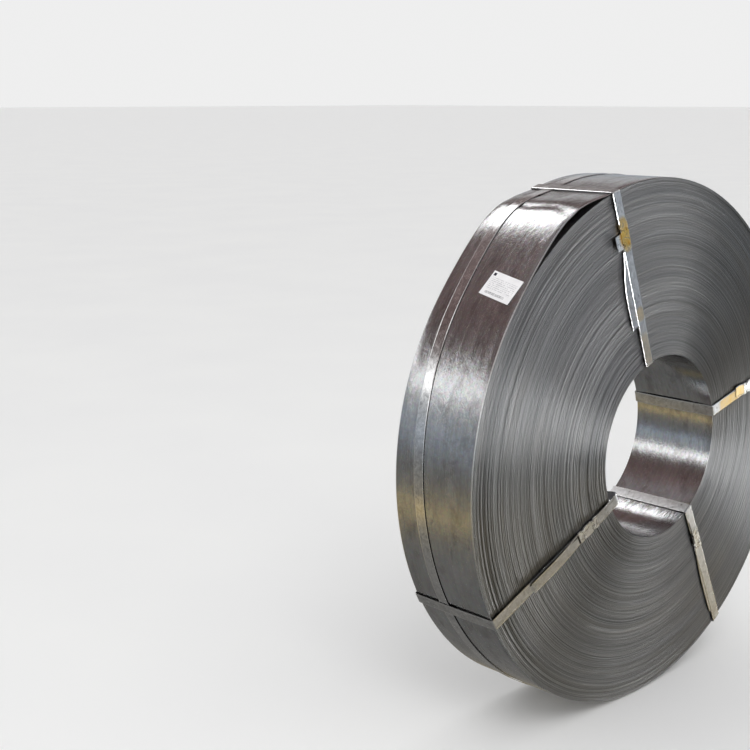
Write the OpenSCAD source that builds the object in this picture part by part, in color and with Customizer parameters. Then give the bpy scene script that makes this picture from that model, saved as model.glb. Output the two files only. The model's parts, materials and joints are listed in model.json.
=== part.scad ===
// Slit steel coil, strapped through the eye and around the belly.
// The bore axis lies along Y, the floor side is -Z, and the origin is at the
// middle of the outer wrap's width, on the bore axis.

/* [Coil] */
// Outer diameter of the coil
outer_d = 1470; // [1400:10:1800]
// Bore diameter left by the mandrel
bore_d = 508; // [406:1:610]
// Width of the strip
strip_w = 260; // [180:5:400]
// Thickness of the strip
gauge = 2; // [1:0.1:4]
// How far the innermost wrap has slipped towards the near face
telescope = 40; // [0:1:60]
// Height of the ridges that uneven wraps leave on both faces
ridge = 1.5; // [0:0.1:3]
// Number of wrap groups that show as steps on the faces
wrap_groups = 24; // [12:1:32]

/* [Loose outer wrap] */
// Angle where the outer wrap lifts off the coil
lap_start = 148; // [140:1:150]
// Angle where the outer wrap lies down on the coil again
lap_end = 106; // [104:1:110]
// Largest gap under the lifted wrap
lap_gap = 22; // [10:1:30]
// How far the bulge leans towards the end angle
lap_lean = 1.7; // [1:0.1:2]

/* [Straps] */
// Width of every strap
strap_w = 32; // [19:1:40]
// Thickness of every strap
strap_t = 0.9; // [0.6:0.05:1]
// Clearance between a strap and what lies under it
strap_gap = 0.2; // [0.1:0.05:0.25]
// Angle of the top eye strap, seen from the near face
top_angle = 105.1; // [100:0.1:107]
// Sideways shift of the top eye strap from the radial line
top_shift = 13; // [0:1:20]
// Angle of the right eye strap
right_angle = 10.1; // [0:0.1:30]
// Sideways shift of the right eye strap
right_shift = 17; // [0:1:20]
// Angle of the lower left eye strap
lower_left_angle = 208.7; // [195:0.1:220]
// Sideways shift of the lower left eye strap
lower_left_shift = -5; // [-20:1:20]
// Angle of the lower right eye strap
lower_right_angle = 301.3; // [290:0.1:320]
// Sideways shift of the lower right eye strap
lower_right_shift = 12; // [-20:1:20]

/* [Seals] */
// Length of a strap seal
seal_len = 75; // [50:1:100]
// Wall thickness of a strap seal
seal_t = 1; // [0.6:0.1:1.5]
// Clearance between a seal and the strap inside it
seal_gap = 0.2; // [0.1:0.05:0.3]
// Distance of the top seal's middle from the coil's outside
top_seal_inset = 121; // [80:1:140]
// Distance of the right seal's middle from the bore
right_seal_inset = 226; // [100:1:300]
// Distance of the lower left seal's middle from the bore
lower_left_seal_inset = 102; // [70:1:130]
// Distance of the lower right seal's middle from the bore
lower_right_seal_inset = 124; // [70:1:130]

/* [Free ends of the straps] */
// Length of the top strap's free end that shows on the bore side of its seal
top_tail = 205; // [20:1:220]
// Length of the right strap's free end that shows on the bore side of its seal
right_tail = 50; // [20:1:60]
// Length of the lower left strap's free end that shows on the outer side of its seal
lower_left_tail = 195; // [20:1:240]
// Length of the lower right strap's free end that shows on the outer side of its seal
lower_right_tail = 265; // [20:1:265]
// Length of the belly strap's free end that shows past its seal
belly_tail = 60; // [20:1:150]
// How far the other end of a strap shows past its seal
stub = 8; // [2:1:10]

/* [Belly strap] */
// Distance of the belly strap's middle behind the coil's mid-plane
belly_y = 41; // [20:1:60]
// Tilt of the belly strap out of square with the bore
belly_tilt = 2.7; // [0:0.1:4]
// Angle at which the tilted belly strap lies furthest back
belly_high_angle = 100; // [60:1:140]
// Angle of the belly strap's seal
belly_seal_angle = 60; // [40:1:80]

/* [Label] */
// Length of the paper label
label_l = 108; // [80:1:120]
// Width of the paper label
label_w = 70; // [40:1:80]
// Thickness of the paper label
label_t = 0.3; // [0.2:0.05:0.5]
// Clearance between the label and the wrap
label_gap = 0.1; // [0.05:0.01:0.2]
// Angle of the label's middle
label_angle = 138.8; // [134:0.1:144]
// Distance of the label's middle in front of the mid-plane
label_y = 55; // [0:1:70]
// Turn of the label in its own plane
label_turn = -12; // [-20:0.5:20]

/* [Hidden] */

$fn = 180;

galvanised = [0.62, 0.64, 0.66];
strap_grey = [0.47, 0.48, 0.47];
seal_grey = [0.55, 0.56, 0.54];
paper_white = [0.93, 0.93, 0.9];

outer_r = outer_d / 2;
bore_r = bore_d / 2;
build_up = outer_r - bore_r;
group_t = build_up / wrap_groups;
far = outer_r * 1.2;

// Everything is drawn as seen from the near face: X right, Y up, Z out of the face.
module near_face_frame() rotate([90, 0, 0]) children();

// The near face is a shallow cone, and the far face lies one strip width behind it.
function slip(r) = telescope * (outer_r - r) / build_up;
function near_z(r) = strip_w / 2 + slip(r);
function far_z(r) = -strip_w / 2 + slip(r);
function group_r(i) = bore_r + i * group_t;
// The groups stand proud by an uneven amount, the sum of two waves of these degrees a group
ridge_wave_1 = 137.5;
ridge_wave_2 = 61;
ridge_phase = 40;
function unevenness(i) = (sin(ridge_wave_1 * i) + sin(ridge_wave_2 * i + ridge_phase)) / 2;
function group_offset(i) = slip((group_r(i) + group_r(i + 1)) / 2) + ridge * unevenness(i);
// What the highest ridge can reach above the cone
ridge_reach = ridge + telescope / wrap_groups / 2;

// Lift of the loose outer wrap at an angle
function lap_share(a) = min(1, max(0, (lap_start - a) / (lap_start - lap_end)));
function lap_lift(a) = lap_gap * pow(sin(180 * pow(lap_share(a), lap_lean)), 2);
lap_steps = 42;
function lap_angle(i) = lap_start + (lap_end - lap_start) * i / lap_steps;
// Below this lift the wrap's underside merges with the coil
lap_merge = 0.3;
lap_bury = 1;
// A bent stretch reaches this angle into the round wall beyond it, and is this much thinner
splice = 0.5;
splice_step = 0.05;

function polar(r, a) = [r * cos(a), r * sin(a)];

top_seal_r = outer_r - top_seal_inset;
right_seal_r = bore_r + right_seal_inset;
lower_left_seal_r = bore_r + lower_left_seal_inset;
lower_right_seal_r = bore_r + lower_right_seal_inset;

// A sector wedge from one angle to another, less than half a turn
module wedge(from, to, z0, z1)
    translate([0, 0, z0])
        linear_extrude(z1 - z0)
            polygon([[0, 0], polar(2 * far, from), polar(3 * far, (from + to) / 2), polar(2 * far, to)]);

// Points along the loose wrap at a height above it, from its start to its end
function lap_path(height) =
    [for (i = [0:lap_steps]) polar(outer_r + lap_lift(lap_angle(i)) + height, lap_angle(i))];
function reversed(points) = [for (i = [len(points) - 1:-1:0]) points[i]];

// A curved layer that follows the loose wrap, between two heights above it
module lap_layer(low, high, z0, z1)
    translate([0, 0, z0])
        linear_extrude(z1 - z0)
            polygon(concat(lap_path(high), reversed(lap_path(low))));

// The same layer with ends that reach into the wall of the shell it carries on from
module spliced_lap_layer(low, high, z0, z1) {
    top = high - splice_step;
    bottom = low + splice_step;
    upper = outer_r + (bottom + 3 * top) / 4;
    lower = outer_r + (3 * bottom + top) / 4;
    translate([0, 0, z0])
        linear_extrude(z1 - z0)
            polygon(concat([polar(upper, lap_start + splice)], lap_path(top),
                           [polar(upper, lap_end - splice), polar(lower, lap_end - splice)],
                           reversed(lap_path(bottom)), [polar(lower, lap_start + splice)]));
}

// Tube wall between two radii
module shell(r0, r1, z0, z1)
    translate([0, 0, z0])
        difference() {
            cylinder(r = r1, h = z1 - z0);
            translate([0, 0, -1]) cylinder(r = r0, h = z1 - z0 + 2);
        }

module turned_coil()
    rotate_extrude()
        polygon(concat(
            [for (i = [0:wrap_groups - 1], k = [0, 1])
                [group_r(i + k), strip_w / 2 + group_offset(i)]],
            [for (i = [wrap_groups - 1:-1:0], k = [1, 0])
                [group_r(i + k), -strip_w / 2 + group_offset(i)]]));

// The lifted stretch of the outer wrap, its ends merged with the coil
module loose_wrap() {
    inner = outer_r - gauge;
    underside = [for (i = [0:lap_steps])
        polar(lap_lift(lap_angle(i)) < lap_merge ? inner - lap_bury
                                                 : inner + lap_lift(lap_angle(i)), lap_angle(i))];
    translate([0, 0, group_offset(wrap_groups - 1) - strip_w / 2 + splice_step])
        linear_extrude(strip_w - 2 * splice_step)
            polygon(concat(
                [polar(outer_r - gauge / 2, lap_start + splice)], lap_path(-splice_step),
                [polar(outer_r - gauge / 2, lap_end - splice), polar(inner - lap_bury, lap_end - splice)],
                reversed(underside), [polar(inner - lap_bury, lap_start + splice)]));
}

module coil() color(galvanised) near_face_frame() {
    difference() {
        turned_coil();
        intersection() {
            shell(outer_r - gauge, outer_r + gauge, -far, far);
            wedge(lap_end, lap_start, -far, far);
        }
    }
    loose_wrap();
}

// Height of a strap's underside above the faces: it clears the ridges and the seal's lower wall
face_gap = ridge_reach + seal_t + strap_gap + seal_gap;
function strap_rim(angle, shift) =
    outer_r + lap_lift(angle + asin((shift + strap_w / 2) / outer_r)) + strap_t + 2 * strap_gap;

// Closed loop around the coil's section, at a height above its surfaces
function near_side(rim, height) =
    [[bore_r - strap_gap - height, near_z(bore_r) + face_gap + height],
     [rim + height, near_z(outer_r) + face_gap + height]];
function far_side(rim, height) =
    [[rim + height, far_z(outer_r) - face_gap - height],
     [bore_r - strap_gap - height, far_z(bore_r) - face_gap - height]];

// The strap's second layer lies on the loop's near side between two radii
function second_layer(r0, r1) =
    [for (p = [[r0, 1], [r0, 2], [r1, 2], [r1, 1]]) [p[0], near_z(p[0]) + face_gap + p[1] * strap_t]];

// Radial slab that a strap of this width fills
module strap_slab(angle, shift, width)
    rotate([0, 0, angle])
        translate([0, shift - width / 2, -far])
            cube([far, width, 2 * far]);

// Places things on the near face at a radius, with X outwards along the strap and Z off the face
module on_face(angle, shift, r)
    rotate([0, 0, angle])
        translate([r, shift, near_z(r) + face_gap])
            rotate([0, atan(telescope / build_up), 0])
                children();

// An eye strap: the loop through the bore, and its second layer through the seal.
// The second layer shows by these lengths on the seal's bore side and on its outer side.
module eye_strap(angle, shift, seal_r, inner_tail, outer_tail) color(strap_grey) near_face_frame() {
    rim = strap_rim(angle, shift);
    outside = near_side(rim, strap_t);
    inner_end = seal_r - seal_len / 2 - inner_tail;
    outer_end = seal_r + seal_len / 2 + outer_tail;
    intersection() {
        difference() {
            rotate_extrude()
                polygon(concat([outside[0]], second_layer(inner_end, outer_end), [outside[1]],
                               far_side(rim, strap_t)));
            rotate_extrude()
                polygon(concat(near_side(rim, 0), far_side(rim, 0)));
        }
        strap_slab(angle, shift, strap_w);
    }
}

// A seal: a sleeve around both layers of the strap
module eye_seal(angle, shift, seal_r) color(seal_grey) near_face_frame()
    on_face(angle, shift, seal_r) {
        inner_w = strap_w + 2 * seal_gap;
        inner_h = 2 * (strap_t + seal_gap);
        difference() {
            translate([-seal_len / 2, -inner_w / 2 - seal_t, -seal_gap - seal_t])
                cube([seal_len, inner_w + 2 * seal_t, inner_h + 2 * seal_t]);
            translate([-seal_len, -inner_w / 2, -seal_gap])
                cube([2 * seal_len, inner_w, inner_h]);
        }
    }

// Tilted slab that the belly strap fills
module belly_slab(width)
    translate([0, 0, -belly_y])
        rotate([0, 0, belly_high_angle])
            rotate([0, belly_tilt, 0])
                translate([-far, -far, -width / 2])
                    cube([2 * far, 2 * far, width]);

belly_reach = belly_y + outer_r * sin(belly_tilt) + strap_w;

module belly_strap() color(strap_grey) near_face_frame()
    intersection() {
        union() {
            difference() {
                shell(outer_r + strap_gap, outer_r + strap_gap + strap_t, -belly_reach, belly_reach);
                wedge(lap_end, lap_start, -far, far);
            }
            spliced_lap_layer(strap_gap, strap_gap + strap_t, -belly_reach, belly_reach);
            belly_seal_sector(outer_r + strap_gap + strap_t / 2, outer_r + strap_gap + 2 * strap_t,
                              seal_len + 2 * belly_tail);
        }
        belly_slab(strap_w);
    }

// Stretch of a shell around the belly seal
module belly_seal_sector(r0, r1, length) {
    half = length / outer_r * 90 / PI;
    intersection() {
        shell(r0, r1, -belly_reach, belly_reach);
        wedge(belly_seal_angle - half, belly_seal_angle + half, -far, far);
    }
}

// The belly seal is folded down over both edges of the strap
module belly_seal() color(seal_grey) near_face_frame() {
    inside_r = outer_r + strap_gap + 2 * strap_t + seal_gap;
    difference() {
        intersection() {
            belly_seal_sector(outer_r + strap_gap, inside_r + seal_t, seal_len);
            belly_slab(strap_w + 2 * (seal_gap + seal_t));
        }
        intersection() {
            belly_seal_sector(outer_r - gauge, inside_r, 2 * seal_len);
            belly_slab(strap_w + 2 * seal_gap);
        }
    }
}

module label() color(paper_white) near_face_frame()
    intersection() {
        lap_layer(label_gap, label_gap + label_t, -strip_w / 2, strip_w / 2);
        rotate([0, 0, label_angle])
            translate([outer_r, 0, label_y])
                rotate([label_turn, 0, 0])
                    cube([4 * lap_gap, label_w, label_l], center = true);
    }

coil();
eye_strap(top_angle, top_shift, top_seal_r, top_tail, stub);  // eye_strap_top
eye_strap(right_angle, right_shift, right_seal_r, right_tail, stub);  // eye_strap_right
eye_strap(lower_left_angle, lower_left_shift, lower_left_seal_r, stub, lower_left_tail);  // eye_strap_lower_left
eye_strap(lower_right_angle, lower_right_shift, lower_right_seal_r, stub, lower_right_tail);  // eye_strap_lower_right
eye_seal(top_angle, top_shift, top_seal_r);  // eye_seal_top
eye_seal(right_angle, right_shift, right_seal_r);  // eye_seal_right
eye_seal(lower_left_angle, lower_left_shift, lower_left_seal_r);  // eye_seal_lower_left
eye_seal(lower_right_angle, lower_right_shift, lower_right_seal_r);  // eye_seal_lower_right
belly_strap();
belly_seal();
label();
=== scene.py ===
"""Looks of a strapped slit steel coil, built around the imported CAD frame.

Metres, the CAD's own frame: the bore axis is Y, the near face looks towards -Y, Z is up.
Angles are seen from the near face, counter-clockwise from +X, in degrees.
"""

import json
import math

import bpy
import numpy as np
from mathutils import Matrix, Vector


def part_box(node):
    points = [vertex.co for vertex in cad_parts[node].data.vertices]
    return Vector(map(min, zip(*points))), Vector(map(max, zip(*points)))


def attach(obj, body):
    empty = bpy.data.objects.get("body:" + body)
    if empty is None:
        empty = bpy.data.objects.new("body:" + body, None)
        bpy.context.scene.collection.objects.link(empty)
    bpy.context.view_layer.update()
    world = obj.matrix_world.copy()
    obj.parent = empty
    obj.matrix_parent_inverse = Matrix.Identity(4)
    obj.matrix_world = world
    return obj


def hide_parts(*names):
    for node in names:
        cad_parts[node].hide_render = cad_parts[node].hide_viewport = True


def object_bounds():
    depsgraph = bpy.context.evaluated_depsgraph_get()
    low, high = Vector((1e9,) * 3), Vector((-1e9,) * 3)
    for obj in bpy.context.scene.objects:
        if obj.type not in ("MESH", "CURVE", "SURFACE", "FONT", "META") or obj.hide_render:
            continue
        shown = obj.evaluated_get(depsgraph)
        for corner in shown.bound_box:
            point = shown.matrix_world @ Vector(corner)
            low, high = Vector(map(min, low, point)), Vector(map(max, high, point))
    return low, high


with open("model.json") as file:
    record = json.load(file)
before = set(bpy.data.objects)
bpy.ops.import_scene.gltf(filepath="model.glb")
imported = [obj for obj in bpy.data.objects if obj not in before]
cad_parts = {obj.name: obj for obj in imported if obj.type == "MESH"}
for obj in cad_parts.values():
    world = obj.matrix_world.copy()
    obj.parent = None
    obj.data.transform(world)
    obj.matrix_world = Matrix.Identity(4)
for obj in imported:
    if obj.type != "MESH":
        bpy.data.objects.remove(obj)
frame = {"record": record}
cad_low, cad_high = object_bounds()
MM = 0.001

# ---- Sizes taken from the frame -------------------------------------------------------------
bore = next(m for m in frame["record"]["mounts"] if m["name"] == "bore")
coil_low, coil_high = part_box("coil")
BORE_R = bore["dims"]["r_mm"] * MM
STRIP_W = bore["dims"]["length_mm"] * MM
OUTER_R = (coil_high.x - coil_low.x) / 2
SLIP = -coil_low.y - STRIP_W / 2
FLOOR_Z = cad_low.z

# ---- Sizes that the CAD source states -------------------------------------------------------
GAUGE = 2.0 * MM
STRAP_W = 32 * MM
STRAP_T = 0.9 * MM
STRAP_GAP = 0.2 * MM
SEAL_L = 75 * MM
SEAL_T = 1.0 * MM
SEAL_GAP = 0.2 * MM
STUB_L = 8 * MM
BELLY_TAIL_L = 60 * MM
LAP_START, LAP_END, LAP_GAP, LAP_LEAN = 148.0, 106.0, 22 * MM, 1.7
# Eye strap: angle, sideways shift, radius of its seal, length of its free end (negative: towards the bore)
EYE_STRAPS = {
    "top": (105.1, 13 * MM, OUTER_R - 121 * MM, -205 * MM),
    "right": (10.1, 17 * MM, BORE_R + 226 * MM, -50 * MM),
    "lower_left": (208.7, -5 * MM, BORE_R + 102 * MM, 195 * MM),
    "lower_right": (301.3, 12 * MM, BORE_R + 124 * MM, 265 * MM),
}
BELLY_Y, BELLY_TILT, BELLY_HIGH_ANGLE, BELLY_SEAL_ANGLE = 41 * MM, 2.7, 100.0, 60.0
LABEL_ANGLE, LABEL_Y, LABEL_TURN = 138.8, -55 * MM, -12
LABEL_L, LABEL_W, LABEL_T, LABEL_GAP = 108 * MM, 70 * MM, 0.3 * MM, 0.1 * MM
# Height of the eye straps above the cone that the coil's faces lie on
FACE_GAP = -cad_low.y - STRIP_W / 2 - SLIP - STRAP_T
CONE_TILT = math.atan(SLIP / (OUTER_R - BORE_R))

ALONG_BORE = np.array((0, 1, 0))

# ---- Camera: looks at the bore's centre, which lies right of the picture's middle -----------
CAMERA_YAW, CAMERA_PITCH = 43.786, 11.893
CAMERA_DISTANCE = 3.754
CAMERA_LENS = 63.32
PAN_RIGHT, PAN_UP = 0.1789, -0.0459

rng = np.random.RandomState(7)


# ---- Small helpers --------------------------------------------------------------------------
def radial(angle):
    a = math.radians(angle)
    return np.array((math.cos(a), 0, math.sin(a)))


def sideways(angle):
    a = math.radians(angle)
    return np.array((-math.sin(a), 0, math.cos(a)))


def slip(radius):
    """How far a wrap of this radius has slipped towards the near face."""
    return SLIP * (OUTER_R - radius) / (OUTER_R - BORE_R)


def lap_lift(angle):
    """Lift of the loose outer wrap at angles in degrees."""
    share = np.clip((LAP_START - np.asarray(angle, float)) / (LAP_START - LAP_END), 0, 1)
    return LAP_GAP * np.sin(np.pi * share ** LAP_LEAN) ** 2


def bell(x, middle, width):
    return np.exp(-((x - middle) / width) ** 2)


def smooth_step(x, start, end):
    t = np.clip((x - start) / (end - start), 0, 1)
    return t * t * (3 - 2 * t)


def waves(count, low, high):
    """Random smooth waves of an angle and a width: a list of (turns, cycles, phase, height)."""
    return [(rng.randint(low, high), rng.uniform(-2, 2), rng.uniform(0, 2 * math.pi),
             rng.uniform(0.4, 1.0) / count) for _ in range(count)]


def wave_height(terms, angle, across):
    return sum(h * np.sin(np.radians(angle) * n + across * c * math.pi + p) for n, c, p, h in terms)


def make_object(name, vertices, faces, materials, face_materials=None, sharp=35):
    mesh = bpy.data.meshes.new(name)
    mesh.from_pydata([tuple(v) for v in vertices], [], [tuple(f) for f in faces])
    for material in materials:
        mesh.materials.append(material)
    if face_materials is not None:
        mesh.polygons.foreach_set("material_index", face_materials)
    mesh.polygons.foreach_set("use_smooth", [True] * len(mesh.polygons))
    mesh.set_sharp_from_angle(angle=math.radians(sharp))
    mesh.validate()
    mesh.update()
    piece = bpy.data.objects.new(name, mesh)
    bpy.context.scene.collection.objects.link(piece)
    return piece


def grid_faces(rows, columns, start=0, close_rows=False, close_columns=False):
    """Quads over a grid of points stored row by row."""
    r = np.arange(rows if close_rows else rows - 1)
    c = np.arange(columns if close_columns else columns - 1)
    r, c = np.meshgrid(r, c, indexing="ij")
    r2, c2 = (r + 1) % rows, (c + 1) % columns
    quads = np.stack([r * columns + c, r * columns + c2, r2 * columns + c2, r2 * columns + c], -1)
    return quads.reshape(-1, 4) + start


def sweep(name, sections, materials, column_materials=None, sharp=35):
    """A closed band: a row of closed sections, with a flat cap at each end."""
    rows, columns = sections.shape[:2]
    faces = [list(f) for f in grid_faces(rows, columns, close_columns=True)]
    faces.append(list(range(columns))[::-1])
    faces.append(list(range((rows - 1) * columns, rows * columns)))
    kind = np.zeros((rows - 1, columns), int)
    if column_materials is not None:
        kind[:] = column_materials
    cap_kind = len(materials) - 1
    return make_object(name, sections.reshape(-1, 3), faces, materials,
                       list(kind.ravel()) + [cap_kind, cap_kind], sharp)


def settle(piece, slot, *nodes):
    """Rides a piece on the one body, in place of CAD nodes, which it hides; the slot is not used."""
    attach(piece, "root")
    if nodes:
        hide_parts(*nodes)


# ---- Node helpers ---------------------------------------------------------------------------
class Nodes:
    """Short calls for the nodes that the finishes share."""

    def __init__(self, tree):
        self.tree = tree

    def node(self, kind, inputs=(), **settings):
        made = self.tree.nodes.new(kind)
        for key, value in settings.items():
            setattr(made, key, value)
        for key, value in dict(inputs).items():
            self.put(made.inputs[key], value)
        return made

    def put(self, socket, value):
        if isinstance(value, bpy.types.NodeSocket):
            self.tree.links.new(value, socket)
        else:
            socket.default_value = value

    def math(self, operation, a, b=0.0):
        return self.node("ShaderNodeMath", {0: a, 1: b}, operation=operation).outputs[0]

    def vector(self, operation, a, b=(0, 0, 0), output=0):
        return self.node("ShaderNodeVectorMath", {0: a, 1: b}, operation=operation).outputs[output]

    def times(self, vector, factor):
        return self.node("ShaderNodeVectorMath", {0: vector, "Scale": factor}, operation="SCALE").outputs[0]

    def ramp(self, factor, stops, interpolation="LINEAR"):
        made = self.node("ShaderNodeValToRGB", {"Fac": factor})
        made.color_ramp.interpolation = interpolation
        elements = made.color_ramp.elements
        while len(elements) < len(stops):
            elements.new(0.5)
        for element, (place, colour) in zip(elements, stops):
            element.position = place
            element.color = (*colour, 1)
        return made.outputs["Color"]

    def levels(self, factor, low, high, new_low, new_high, smooth=False):
        return self.node("ShaderNodeMapRange", {
            "Value": factor, "From Min": low, "From Max": high, "To Min": new_low, "To Max": new_high},
            interpolation_type="SMOOTHSTEP" if smooth else "LINEAR").outputs[0]

    def mix(self, factor, a, b, blend="MIX"):
        made = self.node("ShaderNodeMix", data_type="RGBA", blend_type=blend)
        colours = [s for s in made.inputs if s.type == "RGBA"]
        self.put(made.inputs[0], factor)
        self.put(colours[0], a)
        self.put(colours[1], b)
        return next(s for s in made.outputs if s.type == "RGBA")


class Shader(Nodes):
    """A new material and its node tree."""

    def __init__(self, name, **sockets):
        self.material = bpy.data.materials.new(name)
        self.material.use_nodes = True
        super().__init__(self.material.node_tree)
        self.bsdf = self.tree.nodes["Principled BSDF"]
        for socket, value in sockets.items():
            self.bsdf.inputs[socket.replace("_", " ")].default_value = value
        self.object_coords = self.node("ShaderNodeTexCoord").outputs["Object"]

    def scaled(self, scale):
        return self.node("ShaderNodeMapping", {"Vector": self.object_coords, "Scale": scale}).outputs[0]

    def noise(self, scale, coords=None, detail=3.0, roughness=0.5, distortion=0.0):
        return self.node("ShaderNodeTexNoise", {
            "Vector": coords or self.object_coords, "Scale": scale, "Detail": detail,
            "Roughness": roughness, "Distortion": distortion}).outputs["Fac"]

    def bump(self, height, distance, strength=1.0, normal=None):
        inputs = {"Height": height, "Distance": distance, "Strength": strength}
        if normal is not None:
            inputs["Normal"] = normal
        return self.node("ShaderNodeBump", inputs).outputs[0]

    def out(self, socket, value):
        self.put(self.bsdf.inputs[socket], value)

    def near(self, place, inside, outside):
        """1 within a distance of a place, fading to 0 at another."""
        gap = self.vector("DISTANCE", self.object_coords, tuple(place), "Value")
        return self.levels(gap, inside, outside, 1, 0, smooth=True)

    def near_line(self, start, end, inside, outside):
        """1 within a distance of a line from one place to another, fading to 0 at another distance."""
        way = Vector(end) - Vector(start)
        along = self.vector("DOT_PRODUCT", self.vector("SUBTRACT", self.object_coords, tuple(start)),
                            tuple(way / way.length_squared), "Value")
        along = self.levels(along, 0, 1, 0, 1)
        nearest = self.vector("ADD", self.times(tuple(way), along), tuple(start))
        gap = self.vector("DISTANCE", self.object_coords, nearest, "Value")
        return self.levels(gap, inside, outside, 1, 0, smooth=True)

    def ring_coords(self, around, outwards):
        """Coordinates that change slowly around the bore axis and quickly with the radius."""
        parts = self.node("ShaderNodeSeparateXYZ", {0: self.object_coords})
        flat = self.node("ShaderNodeCombineXYZ", {"X": parts.outputs["X"], "Z": parts.outputs["Z"]})
        radius = self.vector("LENGTH", flat.outputs[0], output="Value")
        unit = self.vector("NORMALIZE", flat.outputs[0])
        unit = self.node("ShaderNodeSeparateXYZ", {0: self.times(unit, around)})
        return self.node("ShaderNodeCombineXYZ", {
            "X": unit.outputs["X"], "Y": self.math("MULTIPLY", radius, outwards),
            "Z": unit.outputs["Z"]}).outputs[0]


# ---- Finishes -------------------------------------------------------------------------------
# Waviness of the sheet: noise scale, stretch along the bore axis, detail, roughness, bump height, strength
SHEET_WAVES = [(7.0, 1.2, 2, 0.5, 4.0 * MM, 0.5), (24.0, 1.8, 6, 0.7, 1.4 * MM, 0.6),
               (70.0, 1.6, 4, 0.7, 0.5 * MM, 0.6)]
STREAK_HEIGHT = 0.06 * MM
# Rings of the slit edges: how quickly they change around the bore axis and with the radius
WRAP_RINGS, GROUP_RINGS, BAND_RINGS = (0.12, 420), (0.07, 120), (0.7, 26)
WRAP_RELIEF, GROUP_RELIEF = 0.5 * MM, 3.8 * MM
# Printed blocks of the label in mm: left, right, top, bottom; and the pitch of its rows
WORDS, BAR, SQUARE = (8, 100, 17, 52), (14, 84, 56, 63), (5, 14, 5, 13)
ROW_PITCH = 5.0


def galvanised(name, tone, low_rough, high_rough, waviness):
    """Bright zinc-coated sheet: streaks along its length, faint spangle, smears and dull spots."""
    s = Shader(name, Metallic=1.0)
    streaks = s.noise(1.0, s.scaled((2.2, 190, 2.2)), detail=5, roughness=0.7)
    fine = s.noise(1.0, s.scaled((9, 420, 9)), detail=3, roughness=0.7)
    mottle = s.noise(11.0, s.scaled((0.7, 1.7, 0.7)), detail=7, roughness=0.66)
    spangle = s.node("ShaderNodeTexVoronoi", {"Vector": s.object_coords, "Scale": 140.0}).outputs["Color"]
    colour = s.ramp(mottle, [(0.28, (0.72 * tone,) * 3), (0.55, (0.98 * tone, tone, 1.02 * tone)),
                             (0.78, (1.22 * tone,) * 3)])
    colour = s.mix(0.3, colour, s.ramp(streaks, [(0.3, (0.7 * tone,) * 3), (0.7, (1.3 * tone,) * 3)]))
    colour = s.mix(0.05, colour, spangle, "OVERLAY")
    smears = s.noise(3.2, s.scaled((1.0, 3.4, 1.0)), detail=9, roughness=0.72, distortion=0.5)
    dull = s.levels(smears, 0.54, 0.72, 0.0, 1.0)
    colour = s.mix(s.math("MULTIPLY", dull, 0.6), colour, (0.6 * tone, 0.58 * tone, 0.55 * tone, 1))
    grease = s.noise(6.0, s.scaled((1.5, 2.6, 1.5)), detail=9, roughness=0.78, distortion=0.3)
    grease = s.levels(grease, 0.5, 0.62, 0.0, 0.5)
    colour = s.mix(grease, colour, (0.42 * tone, 0.38 * tone, 0.38 * tone, 1))
    s.out("Base Color", colour)
    rough = s.levels(streaks, 0.3, 0.7, low_rough, high_rough)
    rough = s.math("ADD", rough, s.math("MULTIPLY", dull, 0.16))
    s.out("Roughness", rough)
    normal = None
    for scale, stretch, detail, roughness, height, strength in SHEET_WAVES:
        relief = s.noise(scale, s.scaled((1, stretch, 1)), detail, roughness)
        normal = s.bump(relief, height * waviness, strength, normal)
    s.out("Normal", s.bump(fine, STREAK_HEIGHT, 0.35, normal))
    return s.material


def strip_edges(name):
    """The slit edges of the wraps, seen side by side: fine rings of uneven brightness."""
    s = Shader(name, Metallic=1.0, Anisotropic=0.9)
    wraps = s.noise(1.0, s.ring_coords(*WRAP_RINGS), detail=2, roughness=0.8)
    rings = s.noise(1.0, s.ring_coords(*GROUP_RINGS), detail=4, roughness=0.7)
    bands = s.noise(1.0, s.ring_coords(*BAND_RINGS), detail=3, roughness=0.55)
    patches = s.noise(4.0, detail=5, roughness=0.6)
    colour = s.ramp(rings, [(0.3, (0.11, 0.112, 0.115)), (0.5, (0.20, 0.202, 0.206)),
                            (0.72, (0.42,) * 3)])
    colour = s.mix(0.5, colour, s.ramp(wraps, [(0.36, (0.08,) * 3), (0.66, (0.50,) * 3)]))
    colour = s.mix(0.35, colour, s.ramp(bands, [(0.35, (0.20, 0.205, 0.215)), (0.65, (0.33,) * 3)]))
    colour = s.mix(s.levels(patches, 0.5, 0.75, 0, 0.35), colour, (0.21, 0.20, 0.19, 1))
    s.out("Base Color", colour)
    s.out("Roughness", s.levels(bands, 0.35, 0.65, 0.37, 0.28))
    normal = s.bump(rings, GROUP_RELIEF, 0.8)
    s.out("Normal", s.bump(wraps, WRAP_RELIEF, 0.7, normal))
    s.out("Anisotropic Rotation", 0.25)
    s.out("Tangent", s.node("ShaderNodeTangent", direction_type="RADIAL", axis="Y").outputs[0])
    return s.material


def cut_edge(name, dark, light, low_rough, high_rough):
    """The bright sheared edge of the outermost and innermost wraps, and the burnished one of the straps."""
    s = Shader(name, Metallic=1.0)
    nicks = s.noise(180.0, detail=4, roughness=0.7)
    s.out("Base Color", s.ramp(nicks, [(0.3, (dark,) * 3), (0.7, (light,) * 3)]))
    s.out("Roughness", s.levels(nicks, 0.3, 0.7, high_rough, low_rough))
    s.out("Normal", s.bump(nicks, 0.0004, 0.5))
    return s.material


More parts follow.
